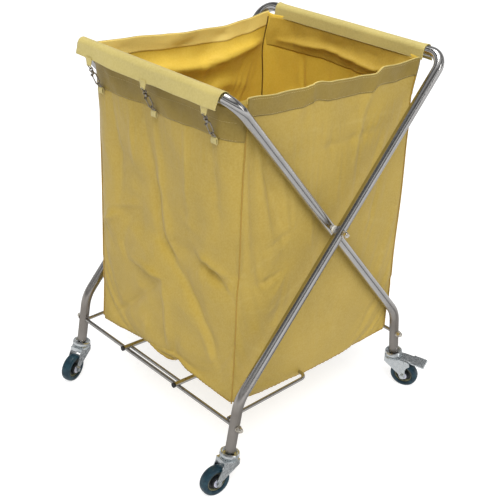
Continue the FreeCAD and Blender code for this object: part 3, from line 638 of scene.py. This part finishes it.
class Wall:
    """One wall of the bag, from its begin corner to its end corner, anticlockwise."""

    def __init__(self, across, facing, begin, end, folds, lower, upper, phase):
        self.across, self.facing, self.begin, self.end = across, facing, begin, end
        self.folds, self.lower, self.upper, self.phase = folds, lower, upper, phase

    def relief(self, across, height):
        """Displacement out of the wall by its folds and a soft unevenness."""
        push = np.zeros(across.shape)
        for points, amount, widths in self.folds:
            push += fold(across, height, points, FOLD_DEPTH * amount, widths)
        long_wave = np.sin(across / 71 + 0.8 + self.phase) * np.sin(height / 133 + self.phase)
        short_wave = np.sin(across / 33 - height / 57) * np.cos(height / 41 + across / 90)
        return (push + 2.2 * long_wave + 1.1 * short_wave
                + crumple_field(across, height, self.phase))

    def span(self):
        """Across coordinate at the wall's two ends."""
        if self.across == 1:
            return HALF_DEPTH * self.begin[1], HALF_DEPTH * self.end[1]
        return tuple(LEFT_END if side[0] < 0 else RIGHT_END for side in (self.begin, self.end))


FRONT = Wall(0, -1, (-1, -1), (1, -1), FRONT_FOLDS, FRONT_EDGE, FRONT_TOP, 0)
RIGHT = Wall(1, 1, (1, -1), (1, 1), RIGHT_FOLDS, RIGHT_EDGE, SIDE_TOP, 1)
BACK = Wall(0, 1, (1, 1), (-1, 1), BACK_FOLDS, BACK_EDGE, BACK_TOP, 2)
LEFT = Wall(1, -1, (-1, 1), (-1, -1), LEFT_FOLDS, LEFT_EDGE, SIDE_TOP, 3)
WALLS = (FRONT, RIGHT, BACK, LEFT)


def corner(sides, height):
    """Where two walls meet, at a height; sides are the signs of its x and y."""
    x = LEFT_CORNER(height) if sides[0] < 0 else RIGHT_CORNER(height)
    y = np.full(np.shape(height), HALF_DEPTH)
    if sides == (-1, -1):
        dent = np.exp(-((height - DENT_HEIGHT) / DENT_SPREAD) ** 2)
        x, y = x - DENT_X * dent, y - DENT_Y * dent
    if sides == (-1, 1):
        x = x + LEAN * smoothstep(height, LEAN_FROM, LEAN_TO)
    return sides[0] * x, sides[1] * y


def wall_points(wall, share, height, lift=0.0):
    """Points of a wall; share runs from 0 to 1 along it, and lift moves them outwards."""
    x0, y0 = corner(wall.begin, height)
    x1, y1 = corner(wall.end, height)
    x, y = x0 + (x1 - x0) * share, y0 + (y1 - y0) * share
    across = (x, y)[wall.across]
    middle = np.abs(2 * share - 1)
    out = wall.relief(across, height) * (1 - middle ** 8)
    out = out * (0.25 + 0.75 * smoothstep(height - wall.lower(across), 5, 80))
    if wall.across == 0:
        # The front and back walls sag in a little, and stay clear of the legs beside them.
        out = out - SAG * (1 - middle ** 8)
        out = PROUD - 2 * np.log1p(np.exp((PROUD - out) / 2))
        out = out * (1 - middle ** 60)
    else:
        # The side walls are drawn out to the rails at the top, where the seam is straight.
        rise = smoothstep(height, DRAW_FROM, WALL_TOP) ** 1.2
        out = out * (1 - smoothstep(height, 880, SEAM_HEIGHT))
        out = out + rise * (SEAM_REACH - np.abs(x)) * (1 - middle ** 12)
    # The foot of each wall turns in with a small round edge.
    turn = np.clip(1 - (height - wall.lower(across)) / FOOT_ROUND, 0, 1)
    inset = FOOT_TURN * (1 - np.sqrt(1 - turn ** 2))
    out = out + lift - inset
    if wall.across == 0:
        return x * (1 - inset / 280), y + wall.facing * out
    return x + wall.facing * out, y * (1 - inset / HALF_DEPTH)


def wall_grid(wall, low, high, rows, columns, lift=0.0, ends=(0.0, 1.0), crowd=1.0):
    """Grid of points of a wall between two height functions, row by row from the foot."""
    share = np.linspace(ends[0], ends[1], columns)
    start, stop = wall.span()
    across = start + (stop - start) * share
    low_edge, high_edge = low(across), high(across)
    v = np.linspace(0, 1, rows)[:, None] ** crowd
    height = low_edge[None, :] + (high_edge - low_edge)[None, :] * v
    x, y = wall_points(wall, np.broadcast_to(share[None, :], height.shape), height, lift)
    return np.stack([x, y, height], axis=-1)


# Radius of the base's rods and of its sliding arms, the arms' distance from the middle,
# and the gap kept above them.
ROD_RADIUS, ARM_RADIUS, ARM_PLACE, REST_GAP = 4.5, 6, 103, 0.8


def bag_rest_height(x, y):
    """Lowest height that clears the loop and the sliding arms below."""
    _, loop_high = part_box("left_base_loop")
    arm_low, arm_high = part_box("right_base_arms")
    loop_end, loop_top = loop_high.x / MM - ROD_RADIUS, loop_high.z / MM
    slope = (arm_high.z - arm_low.z - 2 * ARM_RADIUS * MM) / (arm_high.x - arm_low.x)
    arm_top = (arm_low.z + arm_high.z) / 2 / MM + ARM_RADIUS
    over_loop = loop_top + REST_GAP + CLOTH - 0.02 * (x - loop_end) ** 2
    over_arm = (arm_top + REST_GAP + CLOTH - slope * x
                - 0.02 * (np.abs(y) - ARM_PLACE) ** 2)
    return np.maximum(over_loop, over_arm)


def bag_floor(ring, sides):
    """Patch that closes the foot: blended from its four edges, sagging between supports."""
    front, right, back, left = [ring[s] for s in sides]
    back, left = back[::-1], left[::-1]
    u = np.linspace(0, 1, len(front))[None, :, None]
    v = np.linspace(0, 1, len(right))[:, None, None]
    lines = (1 - v) * front[None] + v * back[None]
    posts = (1 - u) * left[:, None] + u * right[:, None]
    corners = ((1 - u) * (1 - v) * front[0] + u * (1 - v) * front[-1]
               + (1 - u) * v * back[0] + u * v * back[-1])
    patch = lines + posts - corners
    inside = np.sin(np.pi * u[..., 0]) * np.sin(np.pi * v[..., 0])
    x, y = patch[..., 0], patch[..., 1]
    patch[..., 2] += inside * (3 * np.sin(x / 60) * np.sin(y / 55) - 2)
    patch[..., 2] = np.maximum(patch[..., 2], bag_rest_height(x, y))
    return patch


def bag_shell():
    """Points and faces of the whole bag, and how strongly each point is pinned."""
    grids = [wall_grid(w, w.lower, w.upper, ROWS, COLUMNS[w.across] + 1, crowd=1.15)
             for w in WALLS]
    for i in range(4):
        here, following = grids[i], grids[(i + 1) % 4]
        shared = (here[:, -1] + following[:, 0]) / 2
        here[:, -1], following[:, 0] = shared, shared
    ring = np.concatenate([g[:, :-1] for g in grids], axis=1)
    around = ring.shape[1]
    for _ in range(2):
        ring[1:] = 0.5 * ring[1:] + 0.25 * (np.roll(ring, 1, 1) + np.roll(ring, -1, 1))[1:]
    starts = np.cumsum([0] + [g.shape[1] - 1 for g in grids])
    sides = [np.arange(starts[i], starts[i + 1] + 1) % around for i in range(4)]
    patch = bag_floor(ring[0], sides)
    deep, wide = patch.shape[:2]
    index = np.full((deep, wide), -1)
    index[0], index[:, -1] = sides[0], sides[1]
    index[-1], index[:, 0] = sides[2][::-1], sides[3][::-1]
    index[1:-1, 1:-1] = ring.shape[0] * around + np.arange((deep - 2) * (wide - 2)).reshape(
        deep - 2, wide - 2)
    points = np.concatenate([ring.reshape(-1, 3), patch[1:-1, 1:-1].reshape(-1, 3)])
    faces = grid_faces(ROWS, around, closed=True)
    for r in range(deep - 1):
        for c in range(wide - 1):
            faces.append((index[r, c], index[r + 1, c], index[r + 1, c + 1], index[r, c + 1]))
    hold = np.ones(len(points))
    wall_hold = hold[:ROWS * around].reshape(ROWS, around)
    wall_hold[:] = smoothstep(ring[..., 2], 800, 850)
    wall_hold[:2] = 1
    for start in starts[:4]:
        for step in (-2, -1, 0, 1, 2):
            column = wall_hold[:, (start + step) % around]
            column[:] = np.maximum(column, 0.5 - 0.15 * abs(step))
    return points, faces, hold


CLOTH_SETTINGS = {
    "quality": 6, "mass": 0.25, "tension_stiffness": 25, "compression_stiffness": 25,
    "shear_stiffness": 6, "bending_stiffness": 0.06, "tension_damping": 12,
    "shrink_min": -0.012, "vertex_group_mass": "hold", "pin_stiffness": 0.6,
}


def crumple(bag, hold):
    """Cloth simulation: the cloth is cut a little too large, so that it buckles and sags.

    Returns how far each point moves, softly capped."""
    group = bag.vertex_groups.new(name="hold")
    for level in range(1, 11):
        members = np.nonzero(np.round(hold * 10) == level)[0].tolist()
        if members:
            group.add(members, level / 10, "REPLACE")
    cloth_modifier = bag.modifiers.new("cloth", "CLOTH")
    for key, value in CLOTH_SETTINGS.items():
        setattr(cloth_modifier.settings, key, value)
    cloth_modifier.collision_settings.use_collision = False
    start = np.empty(len(bag.data.vertices) * 3)
    bag.data.vertices.foreach_get("co", start)
    for step in range(1, SIM_FRAMES + 1):
        SCENE.frame_set(step)
    evaluated = bag.evaluated_get(bpy.context.evaluated_depsgraph_get())
    moved = np.empty(start.size)
    evaluated.data.vertices.foreach_get("co", moved)
    bag.modifiers.clear()
    bag.vertex_groups.clear()
    SCENE.frame_set(1)
    shift = (moved - start).reshape(-1, 3)
    size = np.linalg.norm(shift, axis=1, keepdims=True) + 1e-9
    return shift * (SIM_CAP * MM * np.tanh(size / (SIM_CAP * MM)) / size)


class Drape:
    """Moves what is sewn to the bag along with the simulated cloth."""

    def __init__(self, points, shift):
        self.shift = shift
        self.tree = KDTree(len(points))
        for i, point in enumerate(points):
            self.tree.insert(point, i)
        self.tree.balance()

    def follow(self, points):
        moved = np.array(points, float)
        for i, point in enumerate(points):
            found = self.tree.find_n(point, 4)
            weights = np.array([1 / (near[2] + 1e-4) for near in found])
            shifts = np.array([self.shift[near[1]] for near in found])
            moved[i] += (weights[:, None] * shifts).sum(0) / weights.sum()
        return moved


def crease_layer(bag, points):
    """Point attribute that is 1 on the sharp line of each fold, where the cloth is painted
    paler: partly wear, partly a painted highlight.
    """
    strength = np.zeros(len(points))
    for wall in WALLS:
        across, other = points[:, wall.across] / MM, points[:, 1 - wall.across] / MM
        near = np.abs(other - wall.facing * 280) < 60
        for line, amount, _ in wall.folds:
            mark = np.abs(fold(across, points[:, 2] / MM, line, 1.0, (3.0, 3.0)))
            strength += np.where(near, mark * min(abs(amount) / 6, 1), 0)
    layer = bag.data.attributes.new("crease_wear_and_highlight", "FLOAT", "POINT")
    layer.data.foreach_set("value", np.clip(strength, 0, 1).astype(np.float32))


def depth_limit(points):
    """How far out the front and back stand: less along the path of the bolt heads."""
    x, z = np.abs(points[:, 0]) / MM, points[:, 2] / MM
    beside = 1 - smoothstep(x, 16, 40)
    along = smoothstep(z, 440, 470) * (1 - smoothstep(z, 592, 622))
    return (HALF_DEPTH + PROUD - BOLT_POCKET * beside * along) * MM


def make_bag():
    """The bag, settled, with an inner face of painted light, and the drape its bands and seams
    follow.
    """
    points, faces, hold = bag_shell()
    points = points * MM
    bag = new_piece("bag_cloth", points, faces, LINEN, "bag")
    shift = crumple(bag, hold)
    settled = points + shift
    limit = depth_limit(settled)
    settled[:, 1] = np.clip(settled[:, 1], -limit, limit)
    shift = settled - points
    bag.data.vertices.foreach_set("co", settled.ravel())
    bag.data.update()
    crease_layer(bag, points)
    # The inner face gets the brighter cloth: painted light for the light inside the bag.
    thicken(bag, CLOTH * MM, -1, LIT_INNER_CLOTH)
    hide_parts("bag_left_panel", "bag_front_panel", "bag_back_panel",
                "bag_right_panel", "bag_bottom")
    return bag, Drape(points, shift)


bag, drape = make_bag()


# ---------------------------------------------------------------- bands, seams, stitches

def above(edge, amount):
    return lambda across: edge(across) + amount


def level(height, wave=0.0):
    return lambda across: height + wave * np.sin(across / 45)


def strip(name, wall, low, high, lift, thickness, material, rows=12, pucker=0.0):
    """Band of cloth sewn to a wall: outside it if lift is positive, else inside."""
    columns = COLUMNS[wall.across] + 1
    share, v = np.linspace(0, 1, columns)[None, :], np.linspace(0, 1, rows)[:, None]
    gathers = np.sin(80 * share + 3 * np.sin(17 * share) + 2 * v) ** 2
    lifts = lift + math.copysign(pucker, lift) * gathers * np.sin(np.pi * v)
    grid = wall_grid(wall, low, high, rows, columns, lifts)
    obj = new_piece(name, drape.follow(grid.reshape(-1, 3) * MM), grid_faces(rows, columns),
                    material, "bag")
    return thicken(obj, thickness * MM, 1 if lift > 0 else -1)


def bead(name, line, radius, material):
    """Rounded cord of cloth along a line of points."""
    sides = 8
    line = np.array(line)
    ahead = np.gradient(line, axis=0)
    ahead /= np.linalg.norm(ahead, axis=1, keepdims=True)
    across = np.cross(ahead, np.where(np.abs(ahead[:, 2:]) > 0.7, (1.0, 0.3, 0), (0, 0, 1.0)))
    across /= np.linalg.norm(across, axis=1, keepdims=True)
    other = np.cross(ahead, across)
    turn = np.linspace(0, 2 * math.pi, sides, endpoint=False)[None, :, None]
    ring = line[:, None] + radius * (np.cos(turn) * across[:, None]
                                     + np.sin(turn) * other[:, None])
    faces = grid_faces(len(line), sides, closed=True)
    last = (len(line) - 1) * sides
    faces += [tuple(range(sides))[::-1], tuple(range(last, last + sides))]
    return new_piece(name, ring.reshape(-1, 3), faces, material, "bag")


STITCH_PITCH, STITCH_LENGTH = 5.0, 3.4
# A stitch's radius at four steps along it, and its sides.
STITCH_RINGS, STITCH_SIDES = ((-1, 0.15), (-0.5, 0.42), (0.5, 0.42), (1, 0.15)), 5


def stitches(name, wall, heights, lift):
    """Rows of small raised stitches along a wall, at the heights of some functions."""
    start, stop = wall.span()
    ends = (0.02, 0.98)
    count = int(abs(stop - start) * (ends[1] - ends[0]) / STITCH_PITCH)
    share = ends[0] + (ends[1] - ends[0]) * (np.arange(count) + 0.5) / count
    half = STITCH_LENGTH / abs(stop - start) / 2
    points, faces = [], []
    turn = np.linspace(0, 2 * math.pi, STITCH_SIDES, endpoint=False)
    out, up = np.zeros(3), np.array((0, 0, 1))
    out[1 - wall.across] = wall.facing
    for height in heights:
        at = height(start + (stop - start) * share)
        rings = []
        for step, radius in STITCH_RINGS:
            x, y = wall_points(wall, share + step * half, at, lift)
            centre = np.stack([x, y, at], -1)[:, None]
            rings.append(centre + radius * (np.cos(turn)[None, :, None] * out
                                            + np.sin(turn)[None, :, None] * up))
        block = np.stack(rings, 1)
        for stitch in range(count):
            first = len(points)
            points.extend(block[stitch].reshape(-1, 3))
            faces += grid_faces(len(STITCH_RINGS), STITCH_SIDES, closed=True, first=first)
            last = first + (len(STITCH_RINGS) - 1) * STITCH_SIDES
            faces += [tuple(range(first, first + STITCH_SIDES))[::-1],
                      tuple(range(last, last + STITCH_SIDES))]
    moved = drape.follow(np.array(points) * MM)
    return new_piece(name, moved, faces, THREAD, "bag")


# Thickness of an outer band and how far it stands off the wall, and those of an inner one.
BAND_THICK, BAND_LIFT, FACING_THICK, FACING_LIFT = 0.9, 0.35, 0.7, -CLOTH - 0.35
STITCH_LIFT = 1.35


def make_bands():
    """Hem bands, facings and bindings round the mouth, with their rows of stitches."""
    found = []
    for name, wall, top in (("front", FRONT, FRONT_TOP), ("back", BACK, BACK_TOP)):
        # The outer band's dark colour is partly its own tone, partly painted shade.
        found.append(strip(name + "_mouth_band", wall, above(top, -HEM), above(top, 0.5),
                           BAND_LIFT, BAND_THICK, BAND_TONE_AND_SHADE))
        # The inner hem's pale colour is painted light.
        found.append(strip(name + "_inner_hem", wall, above(top, -HEM + 4), above(top, 0.5),
                           FACING_LIFT, FACING_THICK, LIT_HEM_CLOTH))
        found.append(strip(name + "_mouth_binding", wall, above(top, -0.7), above(top, 0.9),
                           0.3, 1.4, CREAM, rows=5))
        found.append(stitches(name + "_band_stitches", wall,
                              (above(top, -HEM + 2.5), above(top, -5)), STITCH_LIFT))
    for name, wall in (("left", LEFT), ("right", RIGHT)):
        # The outer band's dark colour is partly its own tone, partly painted shade.
        found.append(strip(name + "_hem_band", wall, level(BAND_LOW, 1.5), level(BAND_HIGH),
                           BAND_LIFT, BAND_THICK, BAND_TONE_AND_SHADE, rows=20))
        # The inner band's darker colour is painted shade.
        found.append(strip(name + "_inner_band", wall, level(BAND_LOW + 4, 1.5),
                           level(SEAM_HEIGHT - 1), FACING_LIFT, FACING_THICK, SHADED_FACING,
                           rows=24, pucker=1.6))
        found.append(stitches(name + "_band_stitches", wall,
                              (level(BAND_LOW + 2.5, 1.5), level(BAND_LOW + 42)),
                              STITCH_LIFT))
    return found


def corner_line(sides, low, high, steps):
    """Points down a corner of the bag."""
    height = np.linspace(low, high, steps)
    x, y = corner(sides, height)
    return np.stack([x, y, height], -1)


# Heights of a corner seam's ends, how far it lies inside the corner line, and how far the
# near-black cord of painted corner shade inside the bag lies from it.
SEAM_FOOT, SEAM_TOP, SEAM_INSET, SEAM_APART = 196, 918, 1.2, 3.0


def make_seams():
    """Felled seams down the four corners and round the foot, and painted shade cords inside."""
    found = []
    names = {(-1, -1): "front_left", (1, -1): "front_right", (1, 1): "back_right",
             (-1, 1): "back_left"}
    for sides, name in names.items():
        line = corner_line(sides, SEAM_FOOT, SEAM_TOP, 150)
        line[:, 0] -= sides[0] * SEAM_INSET
        line[:, 1] -= sides[1] * SEAM_INSET
        moved = drape.follow(line * MM)
        found.append(bead(name + "_corner_seam", moved, 1.7 * MM, SEAM))
        # A near-black cord just inside the corner: painted shade.
        inner = moved - np.array((sides[0], sides[1], 0)) * SEAM_APART * MM
        found.append(bead(name + "_corner_shade_cord", inner, 1.6 * MM, SHADE))
    for name, wall in zip(("front", "right", "back", "left"), WALLS):
        grid = wall_grid(wall, above(wall.lower, 7.5), above(wall.lower, 12), 2, 140, 0.1,
                         (0.012, 0.988))
        moved = drape.follow(grid[0] * MM)
        found.append(bead(name + "_foot_seam", moved, 1.3 * MM, SEAM))
    return found


bands = make_bands()
seams = make_seams()


# ---------------------------------------------------------------- rail flaps

# The flap's radius over the rail, and how far it hangs inside and outside.
FLAP_RADIUS = 13.6
FLAP_INNER, FLAP_DROP = 19.0, 24.0
# Where the three hooks hang, along y.
HOOK_PLACES = (-200.0, 0.0, 200.0)


def flap_section(side, t, y):
    """Cross-section of the flap: up inside the rail, over it and down outside."""
    arc = math.pi * FLAP_RADIUS
    along = t * (FLAP_INNER + arc + FLAP_DROP)
    below_inside = np.clip(FLAP_INNER - along, 0, None)
    angle = np.clip((along - FLAP_INNER) / FLAP_RADIUS, 0, math.pi)
    below = np.clip(along - FLAP_INNER - arc, 0, None)
    flare = 0.16 * below + 0.06 * below * np.sin(y / 38 + side)
    x = RAIL_REACH - FLAP_RADIUS * np.cos(angle) - 0.13 * below_inside + flare
    z = RAIL + FLAP_RADIUS * np.sin(angle) - below - below_inside
    return side * x, z


def make_flap(name, side, near, far, slant):
    """Cloth folded over a rail; its ends stand a little open, and one hangs slanted."""
    columns, rows = 150, 46
    t = np.linspace(0, 1, rows)[:, None]
    y = np.linspace(near, far, columns)[None, :] + slant * smoothstep(t, 0.55, 1)
    t, y = np.broadcast_to(t, y.shape), np.array(y)
    x, z = flap_section(side, t, y)
    soft = smoothstep(t, 0.35, 1.0)
    end = np.clip(1 - (y - near) / 30, 0, 1) ** 2 + np.clip(1 - (far - y) / 30, 0, 1) ** 2
    x += side * soft * (1.3 * np.sin(y / 46) + 0.7 * np.sin(y / 17 + 1))
    z += soft * 1.5 * np.sin(y / 80 + 2 * side)
    opening = end * np.sin(np.pi * np.clip((t - 0.25) / 0.6, 0, 1))
    x += side * 2.2 * opening
    z += 1.2 * opening
    for place in HOOK_PLACES:
        pull = np.exp(-((y - place) / 14) ** 2) * smoothstep(t, 0.6, 1.0)
        z -= 1.8 * pull
        x -= side * 1.0 * pull
    points = np.stack([x, y, z], -1).reshape(-1, 3) * MM
    faces = grid_faces(rows, columns)
    if side < 0:
        faces = [f[::-1] for f in faces]
    body = "bag" if side < 0 else "right_side"
    flap = new_piece(name + "_flap_cloth", points, faces, CREAM, body)
    thicken(flap, 1.5 * MM, 0)
    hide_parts(name + "_rail_flap")
    edges = []
    for label, row in (("outer", -1), ("inner", 0)):
        line = np.stack([x[row], y[row], z[row]], -1) * MM
        edge = bead("%s_flap_%s_edge" % (name, label), line, 1.15 * MM, BINDING)
        edge["body"] = body
        edges.append(edge)
    return flap, edges


left_flap, left_edges = make_flap("left", -1, -244, 243, 9)
right_flap, right_edges = make_flap("right", 1, -250, 250, -4)


# ---------------------------------------------------------------- straps and loops

def piece_number(y):
    """Number of the hook at y, from 1 to 3."""
    return HOOK_PLACES.index(y) + 1


def make_tab(name, side, y, body):
    """Cream tab under the flap's edge, folded round the upper ring."""
    rows, columns = 14, 9
    v = np.linspace(0, 1, rows)[:, None]
    u = np.linspace(-1, 1, columns)[None, :]
    half = 10.5 - 3.0 * smoothstep(v, 0.2, 1)
    low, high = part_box(name + "_hook_straps")
    reach = max(abs(low.x), abs(high.x)) / MM - 0.2
    x = np.broadcast_to(reach - 0.7 * np.sin(np.pi * v), (rows, columns))
    z = np.broadcast_to(RAIL - 21 - 19 * v, (rows, columns)) - 0.8 * u ** 2 * v
    points = np.stack([side * x, y + half * u, z], -1).reshape(-1, 3) * MM
    tab = new_piece("%s_tab_%d" % (name, piece_number(y)), points, grid_faces(rows, columns),
                    CREAM, body)
    return thicken(tab, 1.6 * MM, 0)


def make_loop(name, side, y, body):
    """Rolled webbing loop that holds the lower ring against the hem band."""
    low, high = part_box(name + "_hook_straps")
    inner = min(abs(low.x), abs(high.x)) / MM
    around, columns = 24, 7
    turn = np.linspace(0, 2 * math.pi, around, endpoint=False)[:, None]
    u = np.linspace(-1, 1, columns)[None, :]
    # The right wall bulges a little more, so its loops stand further out.
    stand = 1.4 if side < 0 else 2.2
    x = np.broadcast_to(inner + stand + 2.4 * np.cos(turn), (around, columns))
    z = low.z / MM + 10 + 7.5 * np.sin(turn) - 1.0 * u ** 2
    wide = np.broadcast_to(y + 8.5 * u, (around, columns))
    points = np.stack([side * x, wide, z], -1).reshape(-1, 3) * MM
    faces = []
    for r in range(around):
        for c in range(columns - 1):
            a, b = r * columns + c, ((r + 1) % around) * columns + c
            faces.append((a, a + 1, b + 1, b))
    loop = new_piece("%s_loop_%d" % (name, piece_number(y)), points, faces, BINDING, body)
    return thicken(loop, 1.1 * MM, 0)


def make_straps(name, side):
    """A side's three tabs and three loops."""
    body = "bag" if side < 0 else "right_side"
    tabs = [make_tab(name, side, y, body) for y in HOOK_PLACES]
    for y in HOOK_PLACES:
        make_loop(name, side, y, body)
    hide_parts(name + "_hook_straps")


make_straps("left", -1)
make_straps("right", 1)


# ---------------------------------------------------------------- riding on the bodies

for obj in list(SCENE.objects):
    if "body" in obj:
        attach(obj, obj["body"])
        del obj["body"]
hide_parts("bag_mouth_bands")

# When the frame folds, the rails close up by 286.1 mm, and the bag's front, back and foot
# crumple towards its left wall; here the bag, bands and seams only get meshes of their own.
for piece in [bag] + bands + seams:
    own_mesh(piece)
